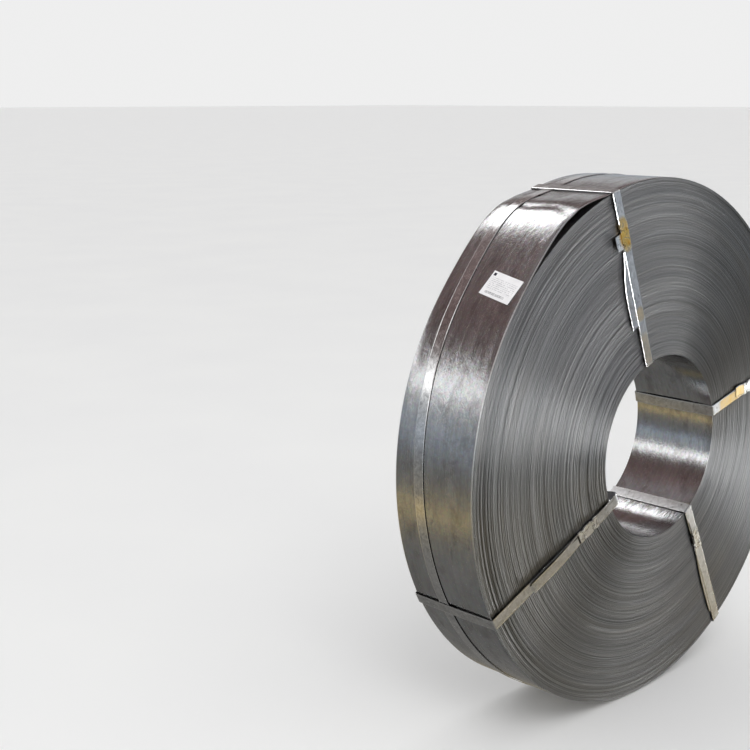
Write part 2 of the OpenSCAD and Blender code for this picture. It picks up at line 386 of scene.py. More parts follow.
def strapping(name, base, low_rough, high_rough, stain, yellow_spots=(), painted_shade=()):
    """Zinc-coated strap with lengthwise rub marks, spots of yellow passivation and near-black lines of painted
    shade in its gaps and recesses.
    """
    s = Shader(name, Metallic=1.0)
    rub = s.noise(55.0, detail=6, roughness=0.7, distortion=1.2)
    patches = s.noise(9.0, detail=4)
    light = tuple(min(1, c * 1.35) for c in base)
    dark = tuple(c * 0.68 for c in base)
    colour = s.ramp(rub, [(0.3, dark), (0.5, base), (0.75, light)])
    colour = s.mix(s.levels(patches, 0.5, 0.75, 0, stain), colour, (0.50, 0.44, 0.33, 1))
    for place, reach, strength in yellow_spots:
        spot = s.near(place, reach * 0.6, reach)
        spot = s.math("MULTIPLY", spot, s.levels(rub, 0.35, 0.6, 0.6 * strength, strength))
        colour = s.mix(spot, colour, (0.78, 0.52, 0.13, 1))
    # Painted shade: near-black lines along the gaps and recesses of straps and seals, where shadow falls.
    for start, end, reach in painted_shade:
        colour = s.mix(s.near_line(start, end, reach * 0.6, reach), colour, (0.03, 0.03, 0.03, 1))
    s.out("Base Color", colour)
    s.out("Roughness", s.levels(rub, 0.3, 0.7, low_rough, high_rough))
    normal = s.bump(s.noise(25.0, detail=2), 0.001, 0.4)
    s.out("Normal", s.bump(rub, 0.0002, 0.5, normal))
    return s.material


def printed_paper(name):
    """White paper with a dark square in a corner, rows of grey marks and a darker bar: no lettering."""
    s = Shader(name, Roughness=0.55)
    place = s.node("ShaderNodeAttribute", attribute_name="print", attribute_type="GEOMETRY").outputs["Vector"]
    parts = s.node("ShaderNodeSeparateXYZ", {0: place})
    along, down = parts.outputs["X"], parts.outputs["Y"]

    def between(value, low, high):
        return s.math("MULTIPLY", s.math("GREATER_THAN", value, low), s.math("LESS_THAN", value, high))

    def block(left, right, top, bottom):
        return s.math("MULTIPLY", between(along, left, right), between(down, top, bottom))

    paper = s.ramp(s.noise(40), [(0.3, (0.80, 0.79, 0.80)), (0.7, (0.88, 0.87, 0.88))])
    row = s.math("FLOOR", s.math("DIVIDE", down, ROW_PITCH))
    within_row = s.math("FRACT", s.math("DIVIDE", down, ROW_PITCH))
    marks = s.node("ShaderNodeCombineXYZ", {
        "X": s.math("MULTIPLY", along, 0.28), "Y": s.math("MULTIPLY", row, 7.3)})
    words = s.math("GREATER_THAN", s.noise(1.0, marks.outputs[0], detail=1), 0.47)
    rows = s.math("MULTIPLY", words, between(within_row, 0.3, 0.72))
    rows = s.math("MULTIPLY", rows, block(*WORDS))
    colour = s.mix(s.math("MULTIPLY", rows, 0.5), paper, (0.25, 0.25, 0.27, 1))
    stripes = s.node("ShaderNodeCombineXYZ", {"X": along})
    stripes = s.math("GREATER_THAN", s.noise(1.6, stripes.outputs[0], detail=1), 0.5)
    bar = s.math("MULTIPLY", stripes, block(*BAR))
    colour = s.mix(s.math("MULTIPLY", bar, 0.8), colour, (0.06, 0.06, 0.07, 1))
    colour = s.mix(block(*SQUARE), colour, (0.01, 0.01, 0.03, 1))
    s.out("Base Color", colour)
    s.out("Normal", s.bump(s.noise(30.0, detail=3), 0.0006, 0.3))
    return s.material


# ---- Coil -----------------------------------------------------------------------------------
RINGS = 150
SEGMENTS = 144
RINGS_PER_GROUP = 8
GROUP_HEIGHT = 0.9 * MM
RING_HEIGHT = 0.22 * MM
RING_TILT = 0.07 * MM
RING_DRIFT = 0.12 * MM
HIGHEST_RING = 1.6 * MM
WIDTH_ERROR = 0.15 * MM
# The wound body stops this far short of the outer and inner skins, where the end wraps lie
BODY_INSET = 1.5 * GAUGE
WRAP_COLUMNS = 17
WRAP_T = 0.85 * GAUGE
WRAP_EASE = 0.25 * WRAP_T
# The rolled edge of a wrap, from its outer skin inwards: depth, and inset from its side
ROLLED_EDGE = [(0, 3.0 * MM), (0.3 * WRAP_T, 1.2 * MM), (0.75 * WRAP_T, 0.2 * MM)]


def ring_offsets(angles):
    """Sideways place of every ring's two edges at every angle, near the cone they lie on."""
    index = np.arange(RINGS)
    group_at = np.arange(0, RINGS + RINGS_PER_GROUP, RINGS_PER_GROUP)
    group = np.interp(index, group_at, rng.uniform(-1, 1, len(group_at))) * GROUP_HEIGHT
    turn = rng.normal(0, 1, RINGS).clip(-2, 2) * RING_HEIGHT
    tilt = rng.normal(0, 1, RINGS).clip(-2, 2) * RING_TILT
    a = np.radians(angles)
    drift = sum(rng.normal(0, RING_DRIFT, RINGS)[:, None]
                * np.cos(k * a + rng.uniform(0, 6.28, RINGS)[:, None]) for k in (1, 2, 3))
    middle = (group + turn)[:, None] + drift
    inner = np.clip(middle - tilt[:, None], -HIGHEST_RING, HIGHEST_RING)
    outer = np.clip(middle + tilt[:, None], -HIGHEST_RING, HIGHEST_RING)
    return inner, outer


def coil_body(edges):
    """The wound strip between its innermost and outermost wraps: one closed turned mesh."""
    angles = np.linspace(0, 360, SEGMENTS, endpoint=False)
    radii = np.linspace(BORE_R + BODY_INSET, OUTER_R - BODY_INSET, RINGS + 1)
    inner_off, outer_off = ring_offsets(angles)
    profile = []
    for i in range(RINGS):
        middle = slip((radii[i] + radii[i + 1]) / 2)
        profile.append((radii[i], -STRIP_W / 2 - middle + inner_off[i]))
        profile.append((radii[i + 1], -STRIP_W / 2 - middle + outer_off[i]))
    near = list(profile)
    width_error = rng.normal(0, WIDTH_ERROR, RINGS)
    for i in reversed(range(RINGS)):
        profile.append((radii[i + 1], near[2 * i + 1][1] + STRIP_W + width_error[i]))
        profile.append((radii[i], near[2 * i][1] + STRIP_W + width_error[i]))
    a = np.radians(angles)
    rows = [np.stack([radius * np.cos(a), np.broadcast_to(y, a.shape), radius * np.sin(a)], -1)
            for radius, y in profile]
    faces = grid_faces(len(profile), SEGMENTS, close_rows=True, close_columns=True)
    piece = make_object("coil_body", np.concatenate(rows), faces, [edges], sharp=25)
    settle(piece, "galvanised_strip", "coil")


def wrap_sections(angles, across, radius, shift):
    """Closed sections of a wrap: its outer skin, a rolled edge, its inner skin and a rolled edge."""
    a = np.radians(angles)[:, None]
    half = STRIP_W / 2

    def layer(columns, depth, inset):
        y = across[None, columns] * (half - inset) + shift
        r = radius[:, columns] - depth
        return np.stack([r * np.cos(a), np.broadcast_to(y, r.shape), r * np.sin(a)], -1)

    everything = np.arange(len(across))
    last, first = everything[-1:], everything[:1]
    skin, shoulder, side = ROLLED_EDGE
    return np.concatenate([
        layer(everything, *skin), layer(last, *shoulder), layer(last, *side),
        layer(last, WRAP_T - WRAP_EASE, 0), layer(everything[::-1], WRAP_T, WRAP_EASE),
        layer(first, WRAP_T - WRAP_EASE, 0), layer(first, *side), layer(first, *shoulder)], axis=1)


def wrap_materials():
    """Skin on both sides, cut edge round both rims."""
    skin, rim = [0] * (WRAP_COLUMNS - 1), [1] * 4
    return skin + rim + skin + rim


OUTER_END = -35.0
OUTER_DENT = 0.22 * MM
# The skin lies this much inside the CAD's radius, which leaves room for its dents
OUTER_SINK = 0.35 * MM
# A crease across the loose stretch: angle, how it leans and waves over the width, depth, half width
CREASE_ANGLE, CREASE_LEAN, CREASE_WAVE, CREASE_DEPTH, CREASE_W = 117.5, 1.6, 0.9, 1.3 * MM, 1.1
# The ridge beside it: how far before the crease, height, half width
RIDGE_BEFORE, RIDGE_HEIGHT, RIDGE_W = 2.6, 0.5 * MM, 1.3
# A fold on the far half: angle, lean, depth, half width
FOLD_ANGLE, FOLD_LEAN, FOLD_DEPTH, FOLD_W = 111, 2, 0.9 * MM, 1.6


def outer_wrap(sheet, edge):
    """The outermost wrap: it spirals down by its own thickness, with its loose stretch and its dents."""
    angles = np.unique(np.concatenate([np.linspace(OUTER_END, OUTER_END + 360, 241),
                                       np.linspace(LAP_END - 8, LAP_START + 2, 209)]))
    across = np.linspace(-1, 1, WRAP_COLUMNS)
    terms = waves(9, 3, 26)
    grid_a, grid_c = np.meshgrid(angles, across, indexing="ij")
    dent = wave_height(terms, grid_a, grid_c) * OUTER_DENT
    crease = CREASE_ANGLE - CREASE_LEAN * grid_c + CREASE_WAVE * np.sin(4 * grid_c)
    dent -= CREASE_DEPTH * bell(grid_a, crease, CREASE_W)
    dent += RIDGE_HEIGHT * bell(grid_a, crease - RIDGE_BEFORE, RIDGE_W)
    fold = bell(grid_a, FOLD_ANGLE + FOLD_LEAN * grid_c, FOLD_W)
    dent -= FOLD_DEPTH * fold * smooth_step(grid_c, -0.6, 0.8)
    radius = OUTER_R - OUTER_SINK - GAUGE * (grid_a - OUTER_END) / 360 + lap_lift(grid_a) + dent
    sections = wrap_sections(angles, across, radius, 0)
    piece = sweep("outer_wrap", sections, [sheet, edge], wrap_materials(), sharp=40)
    settle(piece, "galvanised_strip", "coil")


INNER_END = -112.0
INNER_DENT = 0.35 * MM
INNER_LIFT = 0.25 * MM
INNER_SPIRAL = 0.7 * GAUGE
INNER_PROUD = 0.8 * MM


def inner_wrap(sheet, edge):
    """The innermost wrap, which starts as a free end in the bore and stands a little proud."""
    angles = np.linspace(INNER_END, INNER_END + 360, 181)
    across = np.linspace(-1, 1, WRAP_COLUMNS)
    terms = waves(7, 2, 9)
    grid_a, grid_c = np.meshgrid(angles, across, indexing="ij")
    dent = wave_height(terms, grid_a, grid_c) * INNER_DENT
    radius = BORE_R + INNER_LIFT + GAUGE + INNER_SPIRAL * (grid_a - INNER_END) / 360 + dent
    sections = wrap_sections(angles, across, radius, -slip(BORE_R) - INNER_PROUD)
    piece = sweep("inner_wrap", sections, [sheet, edge], wrap_materials(), sharp=40)
    settle(piece, "galvanised_strip", "coil")


# ---- Straps ---------------------------------------------------------------------------------
# A seal's crimps: places along half its length, their size, and a nick in one strap (radius, depth)
NOTCHES = (-0.52, 0.52)
NOTCH_HALF_W = 5.5 * MM
NOTCH_RISE = 1.7 * MM
NOTCH_DEPTH = 3.4 * MM
STRAP_NICKS = {"lower_left": (392 * MM, 8 * MM)}


def rounded_path(corners, step=4 * MM):
    """Points along a polyline whose corners (place, reach of the bend) are rounded off."""
    places = [np.array(place, float) for place, _ in corners]
    points = [places[0]]
    for i in range(1, len(corners) - 1):
        here, reach = places[i], corners[i][1]
        back, ahead = places[i - 1] - here, places[i + 1] - here
        start = here + back / np.linalg.norm(back) * min(reach, 0.49 * np.linalg.norm(back))
        end = here + ahead / np.linalg.norm(ahead) * min(reach, 0.49 * np.linalg.norm(ahead))
        points += line_between(points[-1], start, step)
        for t in np.linspace(0, 1, 8)[1:]:
            points.append((1 - t) ** 2 * start + 2 * t * (1 - t) * here + t * t * end)
    points += line_between(points[-1], places[-1], step)
    return np.array(points)


def line_between(start, end, step):
    count = max(1, math.ceil(np.linalg.norm(end - start) / step))
    return [start + (end - start) * k / count for k in range(1, count + 1)]


# Section of a strap, its edges burnished to slopes: place across and height off its middle, -1 to 1
STRAP_SECTION = [(u, 1) for u in (-0.87, -0.5, -0.17, 0.17, 0.5, 0.87)] + [(1, -0.5), (1, -0.9)] \
    + [(u, -1) for u in (0.87, 0.5, 0.17, -0.17, -0.5, -0.87)] + [(-1, -0.9), (-1, -0.5)]
# The two edges carry the second material
STRAP_MATERIALS = [0] * 5 + [1] * 3 + [0] * 5 + [1] * 3
STRAP_SHARP = 15


def bites(name, path):
    """How far each side of a strap is bitten in along a path: by its seal's crimps and its own nick."""
    seal_r, on_face = EYE_STRAPS[name][2], path[:, 1] < -STRIP_W / 2
    both = sum(np.maximum(0, 1 - np.abs(path[:, 0] - seal_r - notch * SEAL_L / 2) / NOTCH_HALF_W)
               for notch in NOTCHES) * NOTCH_DEPTH
    nick_r, nick_depth = STRAP_NICKS.get(name, (0, 0))
    nick = np.maximum(0, 1 - np.abs(path[:, 0] - nick_r) / NOTCH_HALF_W) * nick_depth
    return both * on_face, np.maximum(both, nick) * on_face


def eye_strap_sections(path, angle, shift, twist, left_bite, right_bite):
    """Sections of a strap along a path of (radius, y, sideways) in the plane of the bore axis."""
    out = np.gradient(path, axis=0)
    normal = np.stack([out[:, 1], -out[:, 0]], -1)
    normal /= np.linalg.norm(normal, axis=1)[:, None]
    section = np.array(STRAP_SECTION)
    across = section[None, :, 0] * STRAP_W / 2
    across = np.minimum(across, STRAP_W / 2 - right_bite[:, None] * np.abs(section[None, :, 0]))
    across = np.maximum(across, left_bite[:, None] * np.abs(section[None, :, 0]) - STRAP_W / 2)
    side = shift + path[:, 2][:, None] + across
    rise = section[None, :, 1] * STRAP_T / 2 + twist[:, None] * section[None, :, 0]
    radius = path[:, 0][:, None] + normal[:, 0][:, None] * rise
    y = path[:, 1][:, None] + normal[:, 1][:, None] * rise
    reach = np.sqrt(np.maximum(radius ** 2 - side ** 2, 0))
    return (reach[..., None] * radial(angle) + side[..., None] * sideways(angle)
            + y[..., None] * ALONG_BORE)


STRAP_LAYER = STRAP_T + 0.15 * MM


def near_y(radius, level=0.0):
    """Middle of a strap on the near face, in strap layers above the lowest."""
    return -(STRIP_W / 2 + slip(radius) + FACE_GAP + STRAP_T / 2 + level * STRAP_LAYER)


def far_y(radius):
    return STRIP_W / 2 - slip(radius) + FACE_GAP + STRAP_T / 2


# How far each strap hangs off the coil's outside, off its bore, and past the bore's near edge, in mm
STRAP_SLACK = {"top": (0.5, 5, 0), "right": (0.3, 3.5, 0),
               "lower_left": (1.5, 8, 34), "lower_right": (0.8, 1.0, 2)}
# Free ends: how far they swing sideways, and the strap layer they lie at: 0 is under the other end
TAIL_SWING = {"top": 24 * MM, "right": 7 * MM, "lower_left": 4 * MM, "lower_right": -7 * MM}
TAIL_LEVEL = {"top": 0, "right": 2.2, "lower_left": 4.6, "lower_right": 0}
# How far a free end is turned about its own length: the rise of its side edge
TAIL_TWIST = {"top": 0, "right": 0.6 * MM, "lower_left": 0.5 * MM, "lower_right": 0}
# Slight twists all along: the rise of a side edge, the lengths of two waves, and where they fade by a face
TWIST_RISE, TWIST_WAVES, TWIST_FADE = 0.3 * MM, (0.21, 0.09), (0.12, 0.135)
RIM_BEND, OUTSIDE_BEND, BORE_BEND, LIP_BEND = 5 * MM, 60 * MM, 40 * MM, 3 * MM


def near_point(radius, level=0.0, swing=0.0):
    return (radius, near_y(radius, level), swing)


def strap_loop(name, into_bore_first):
    """Corners of a strap's way round the coil: over the outside, then back through the bore."""
    angle, shift = EYE_STRAPS[name][:2]
    slack_out, slack_in, overhang = (s * MM for s in STRAP_SLACK[name])
    rim_angle = angle + math.degrees(math.asin((shift + STRAP_W / 2) / OUTER_R))
    rim = OUTER_R + float(lap_lift(rim_angle)) + 1.5 * STRAP_T + 2 * STRAP_GAP
    inside = BORE_R - STRAP_GAP - STRAP_T / 2
    near_rim, far_rim = near_y(OUTER_R), far_y(OUTER_R)
    near_bore, far_bore = near_y(BORE_R), far_y(BORE_R)
    corners = [((rim, near_rim, 0), RIM_BEND),
               ((rim + slack_out, (near_rim + far_rim) / 2, 0), OUTSIDE_BEND),
               ((rim, far_rim, 0), RIM_BEND),
               ((inside, far_bore, 0), RIM_BEND),
               ((inside - slack_in, near_bore * 0.25 + far_bore * 0.75, 0), BORE_BEND),
               ((inside - slack_in - 0.3 * overhang, near_bore * 0.7 + far_bore * 0.3, 0), BORE_BEND),
               ((inside - overhang, near_bore, 0), LIP_BEND + overhang / 3)]
    return corners[::-1] if into_bore_first else corners


def eye_strap(name, finish, cut):
    """One band: its free end, its way round the coil and the other end, under or over the free one."""
    angle, shift, seal_r, tail = EYE_STRAPS[name]
    swing, level = TAIL_SWING[name], TAIL_LEVEL[name]
    way = math.copysign(1, tail)
    past = seal_r + way * SEAL_L / 2
    before = seal_r - way * (SEAL_L / 2 + STUB_L)
    tip = past + tail
    this_end, other_end = (1, 0) if level > 0 else (0, 1)
    start = [(near_point(tip, level * 0.9, swing), 0),
             (near_point(past + 0.45 * tail, level, swing * 1.1), 50 * MM),
             (near_point(past, this_end), 25 * MM),
             (near_point(before, this_end), 10 * MM),
             (near_point(before - way * STRAP_W, 0), 10 * MM)]
    lies_double = past + way * STUB_L if level > 0 else tip
    end = [(near_point(lies_double + way * STRAP_W, 0), 10 * MM),
           (near_point(lies_double, other_end), 10 * MM),
           (near_point(before, other_end), 0)]
    path = rounded_path(start + strap_loop(name, way > 0) + end)
    travel = np.concatenate([[0], np.cumsum(np.linalg.norm(np.diff(path, axis=0), axis=1))])
    twist = TWIST_RISE * (1 - smooth_step(np.abs(path[:, 1] + SLIP / 2), *TWIST_FADE))
    for wave in TWIST_WAVES:
        twist = twist * np.sin(travel / wave + rng.uniform(0, 6))
    twist += TAIL_TWIST[name] * smooth_step(travel, abs(tail), 0.35 * abs(tail))
    sections = eye_strap_sections(path, angle, shift, twist, *bites(name, path))
    piece = sweep("eye_strap_" + name, sections, [finish, cut], STRAP_MATERIALS, STRAP_SHARP)
    settle(piece, "strapping", "eye_strap_" + name)


# The belly strap's splice: the gap between its layers, and the degrees past the seal where the upper one drops
BELLY_LAYER_GAP = 0.05 * MM
BELLY_DROP = 2, 5
# A little under half a thickness, so that the upper layer stays inside the CAD
BELLY_HALF_T = 0.44 * STRAP_T


def belly_place(angles, across, height):
    """Points at places across the belly strap's width and at heights above the wrap."""
    a = np.radians(angles)
    lean = math.tan(math.radians(BELLY_TILT))
    y = BELLY_Y + OUTER_R * np.cos(a - math.radians(BELLY_HIGH_ANGLE)) * lean + across
    r = OUTER_R + lap_lift(np.mod(angles, 360)) + height
    return np.stack([r * np.cos(a), y, r * np.sin(a)], -1)


def belly_strap(finish, cut):
    half_seal = math.degrees(SEAL_L / 2 / OUTER_R)
    tail = math.degrees(BELLY_TAIL_L / OUTER_R)
    start = BELLY_SEAL_ANGLE - half_seal - tail
    end = BELLY_SEAL_ANGLE + 360 + half_seal + 1
    angles = np.unique(np.concatenate([np.linspace(start, end, 300),
                                       np.linspace(LAP_END, LAP_START, 110)]))
    upper = 1 - smooth_step(angles - BELLY_SEAL_ANGLE - half_seal, *BELLY_DROP)
    level = STRAP_GAP + STRAP_T * 0.5 + (STRAP_T + BELLY_LAYER_GAP) * upper
    section = np.array(STRAP_SECTION)
    height = level[:, None] + section[None, :, 1] * BELLY_HALF_T
    across = np.broadcast_to(section[None, :, 0] * STRAP_W / 2, height.shape)
    sections = belly_place(np.broadcast_to(angles[:, None], height.shape), across, height)
    piece = sweep("belly_strap", sections, [finish, cut], STRAP_MATERIALS, STRAP_SHARP)
    settle(piece, "strapping", "belly_strap")


# ---- Seals ----------------------------------------------------------------------------------
SEAL_ROWS = 61
SEAL_COLUMNS = 13
# A crimp sets in and is full at these distances in from a seal's side
CRIMP_START, CRIMP_FULL = 7 * MM, 5.5 * MM
# The folded flap on top of a seal ends in a small step off the middle: its height and place
FOLD_STEP, FOLD_START, FOLD_END = 0.35 * MM, 3.2 * MM, 2.6 * MM
# The corners of a sleeve are drawn in a little
CORNER_SHARE = 0.93
BELLY_CRIMP_SINK = 0.12 * MM


def crimp(x, across, half_w, notch):
    """How strongly a crimp presses on points of a seal, 0 to 1."""
    window = smooth_step(np.abs(x - notch * SEAL_L / 2), NOTCH_HALF_W, NOTCH_HALF_W * 0.7)
    return window * smooth_step(np.abs(across), half_w - CRIMP_START, half_w - CRIMP_FULL)


def seal_sections():
    """A crimped sleeve: sections along its length in (along, across, height), closed on themselves.

    Height 0 is the underside of the lower strap. The outer skin runs to one end and the inner skin back.
    """
    half_w = STRAP_W / 2 + SEAL_GAP
    high = 2 * (STRAP_T + SEAL_GAP) - SEAL_GAP
    along = np.linspace(-1, 1, SEAL_ROWS) * SEAL_L / 2
    outline = [(u, 1) for u in np.linspace(-1, 1, SEAL_COLUMNS)] + [(1, 0.5), (1, -0.5)]
    outline += [(u, -1) for u in np.linspace(1, -1, SEAL_COLUMNS)] + [(-1, -0.5), (-1, 0.5)]
    outline = np.array(outline)
    side_share = np.where(np.abs(outline[:, 1]) < 1, 1.0, CORNER_SHARE)

    def skin(wall, places):
        across = outline[None, :, 0] * (half_w + wall * side_share)[None, :]
        middle = (high - SEAL_GAP) / 2
        height = middle + outline[None, :, 1] * ((high + SEAL_GAP) / 2 + wall)
        x = places[:, None] + 0 * across
        across, height = across + 0 * x, height + 0 * x
        for notch in NOTCHES:
            press = crimp(x, across, half_w, notch)
            height = height + NOTCH_RISE * press
            across = across - np.sign(across) * NOTCH_DEPTH * press
        flap = smooth_step(across, FOLD_START, FOLD_END) * (height > middle + high / 2)
        height = height - FOLD_STEP * flap * (wall > 0)
        return np.stack([x, across, height], -1)

    return np.concatenate([skin(SEAL_T * 0.95, along), skin(0.0, along[::-1])], axis=0)


def closed_loop(name, sections, finish, slot, node):
    rows, columns = sections.shape[:2]
    faces = grid_faces(rows, columns, close_rows=True, close_columns=True)
    piece = make_object(name, sections.reshape(-1, 3), faces, [finish], sharp=30)
    settle(piece, slot, node)


def eye_seal(name, finish):
    angle, shift, seal_r = EYE_STRAPS[name][:3]
    x, across, height = np.moveaxis(seal_sections(), -1, 0)
    out = seal_r + x * math.cos(CONE_TILT) + height * math.sin(CONE_TILT)
    y = -(STRIP_W / 2 + slip(seal_r) + FACE_GAP) + x * math.sin(CONE_TILT) - height * math.cos(CONE_TILT)
    points = (out[..., None] * radial(angle) + (shift + across)[..., None] * sideways(angle)
              + y[..., None] * ALONG_BORE)
    closed_loop("eye_seal_" + name, points, finish, "seals", "eye_seal_" + name)


def belly_seal(finish):
    """The belly seal: a cover folded down over both edges of the strap, with the same crimps."""
    half_w = STRAP_W / 2 + SEAL_GAP
    top = STRAP_GAP + 2 * STRAP_T + SEAL_GAP
    along = np.linspace(-1, 1, SEAL_ROWS) * SEAL_L / 2
    columns = np.linspace(-1, 1, SEAL_COLUMNS)
    outside = [(u * (half_w + SEAL_T * 0.9), top + SEAL_T) for u in columns]
    inside = [(u * half_w, top) for u in columns[::-1]]
    outline = np.array([(-half_w - SEAL_T, STRAP_GAP)] + outside
                       + [(half_w + SEAL_T, STRAP_GAP), (half_w, STRAP_GAP)] + inside
                       + [(-half_w, STRAP_GAP)])
    x = np.broadcast_to(along[:, None], (len(along), len(outline)))
    across = np.broadcast_to(outline[None, :, 0], x.shape).copy()
    height = np.broadcast_to(outline[None, :, 1], x.shape).copy()
    for notch in NOTCHES:
        press = crimp(x, across, half_w, notch)
        across -= np.sign(across) * NOTCH_DEPTH * press
        height -= BELLY_CRIMP_SINK * press * (height > top)
    angles = BELLY_SEAL_ANGLE + np.degrees(x / OUTER_R)
    piece = sweep("belly_seal", belly_place(angles, across, height), [finish], sharp=30)
    settle(piece, "seals", "belly_seal")


# The top seal's spare flap: radius and sideways place of its middle, its length and width
CLIP_R, CLIP_SIDE, CLIP_L, CLIP_W = 606 * MM, 43 * MM, 40 * MM, 26 * MM
# Its height off the face, its rise over each half width towards the free side, and its lower end's curl
CLIP_LIFT, CLIP_RISE, CLIP_CURL = 1.0 * MM, 1.2 * MM, 1.5 * MM


def top_clip(finish):
    """The top seal's spare flap: a bent plate that stands out beside the strap."""
    angle = EYE_STRAPS["top"][0]
    outline = [(u, 1) for u in np.linspace(-1, 1, 9)] + [(u, -1) for u in np.linspace(1, -1, 9)]
    rows = []
    for v in np.linspace(-1, 1, 15):
        row = []
        for u, side in outline:
            lift = CLIP_RISE * (u + 1) + CLIP_CURL * max(0, -v) ** 2
            height = CLIP_LIFT + lift + side * SEAL_T / 2
            radius = CLIP_R + v * CLIP_L / 2
            across = CLIP_SIDE + u * CLIP_W / 2
            y = -(STRIP_W / 2 + slip(radius) + FACE_GAP) - height
            row.append(radius * radial(angle) + across * sideways(angle) + y * ALONG_BORE)
        rows.append(row)
    piece = sweep("top_seal_flap", np.array(rows), [finish], sharp=30)
    settle(piece, "seals", "eye_seal_top")


# ---- Label ----------------------------------------------------------------------------------
CORNER_CURL = 0.6 * MM


def label(paper):
    rows, columns = 15, 21
    turn = math.radians(LABEL_TURN)
    down, along = np.meshgrid(np.linspace(-1, 1, rows) * LABEL_W / 2,
                              np.linspace(-1, 1, columns) * LABEL_L / 2, indexing="ij")
    tangential = down * math.cos(turn) - along * math.sin(turn)
    towards_near = down * math.sin(turn) + along * math.cos(turn)
    angles = LABEL_ANGLE + np.degrees(np.arcsin(tangential / OUTER_R))
    curl = CORNER_CURL * (np.abs(down) / (LABEL_W / 2)) ** 6 * (np.abs(along) / (LABEL_L / 2)) ** 6
    a = np.radians(angles)
    skins = []
    for height in (LABEL_GAP + LABEL_T, LABEL_GAP):
        r = OUTER_R + lap_lift(angles) + height + curl
        skins.append(np.stack([r * np.cos(a), LABEL_Y - towards_near, r * np.sin(a)], -1))
    top, under = (skin.reshape(-1, 3) for skin in skins)
    count = rows * columns
    faces = [tuple(f) for f in grid_faces(rows, columns)]
    faces += [tuple(f[::-1]) for f in grid_faces(rows, columns, count)]
    rim = list(range(columns)) + [r * columns + columns - 1 for r in range(1, rows)]
    rim += [(rows - 1) * columns + c for c in range(columns - 2, -1, -1)]
    rim += [r * columns for r in range(rows - 2, 0, -1)]
    for here, there in zip(rim, rim[1:] + rim[:1]):
        faces.append((there, here, here + count, there + count))
    piece = make_object("label", np.concatenate([top, under]), faces, [paper])
    places = np.stack([along / MM + LABEL_L / MM / 2, down / MM + LABEL_W / MM / 2, 0 * along], -1)
    places = np.concatenate([places.reshape(-1, 3)] * 2)
    attribute = piece.data.attributes.new("print", "FLOAT_VECTOR", "POINT")
    attribute.data.foreach_set("vector", places.ravel())
    settle(piece, "label", "label")


# ---- Floor, light and camera ----------------------------------------------------------------
PALE = 0.86
FLOOR_HALF = 200
KEY_PLACE, KEY_SIZE, KEY_POWER = (-3.5, -4.0, 5.0), (3.0, 3.0), 110


def make_floor():
    corners = [(x * FLOOR_HALF, y * FLOOR_HALF, FLOOR_Z) for x, y in ((-1, -1), (1, -1), (1, 1), (-1, 1))]
    floor = make_object("studio_floor", corners, [(0, 1, 2, 3)], [])
    s = Shader("studio_floor", Roughness=0.8)
    shades = [(0.3, (0.90,) * 3), (0.7, (0.92, 0.92, 0.915))]
    s.out("Base Color", s.ramp(s.noise(1.2, detail=2), shades))
    floor.data.materials.append(s.material)
    floor.visible_glossy = False


# What shiny metal sees in the studio: (sine of the elevation, colour)
STUDIO = [(-1.0, (0.14, 0.14, 0.14)), (-0.66, (0.20, 0.195, 0.185)), (-0.52, (0.24, 0.225, 0.19)),
          (-0.42, (0.62, 0.49, 0.26)), (-0.34, (0.27, 0.25, 0.21)), (-0.20, (0.22, 0.22, 0.21)),
          (-0.10, (0.24, 0.25, 0.27)), (0.00, (0.42, 0.47, 0.53)), (0.15, (0.46, 0.48, 0.50)),
          (0.38, (0.45, 0.43, 0.43)), (0.47, (0.20, 0.16, 0.155)),
          (0.60, (0.17, 0.12, 0.115)), (0.72, (0.23, 0.17, 0.165)), (0.82, (0.32, 0.28, 0.28)),
          (1.0, (0.42, 0.42, 0.43))]
# A bright band round the walls: sines of the elevations it fills, azimuth where it is brightest, strength
BAND_LOW, BAND_HIGH, BAND_EDGE, BAND_AZIMUTH, BAND_STRENGTH = 0.24, 0.37, 0.05, -50, 2.0
# It fades between these cosines from its brightest azimuth, down to this share
BAND_FADE_START, BAND_FADE_END, BAND_LEAST = 0.35, 0.75, 0.12
# Soft panels that shiny metal sees: azimuth from +Y to +X, elevation, half width, half height, strength
PANELS = [(19, 46, 11, 6.5, 3.6), (104, 47, 9.5, 6, 1.4), (194, 47, 9.5, 6, 1.4), (284, 47, 9.5, 6, 1.4),
          (167, -4, 3, 5, 20), (106, -16, 3, 5, 9), (224, 12, 24, 14, 3.2)]
# The near side of the studio is a little bluer
NEAR_SIDE_AZIMUTH, NEAR_SIDE_TINT = 136, (0.89, 0.91, 0.95)


def level_way(azimuth):
    a = math.radians(azimuth)
    return math.sin(a), math.cos(a), 0


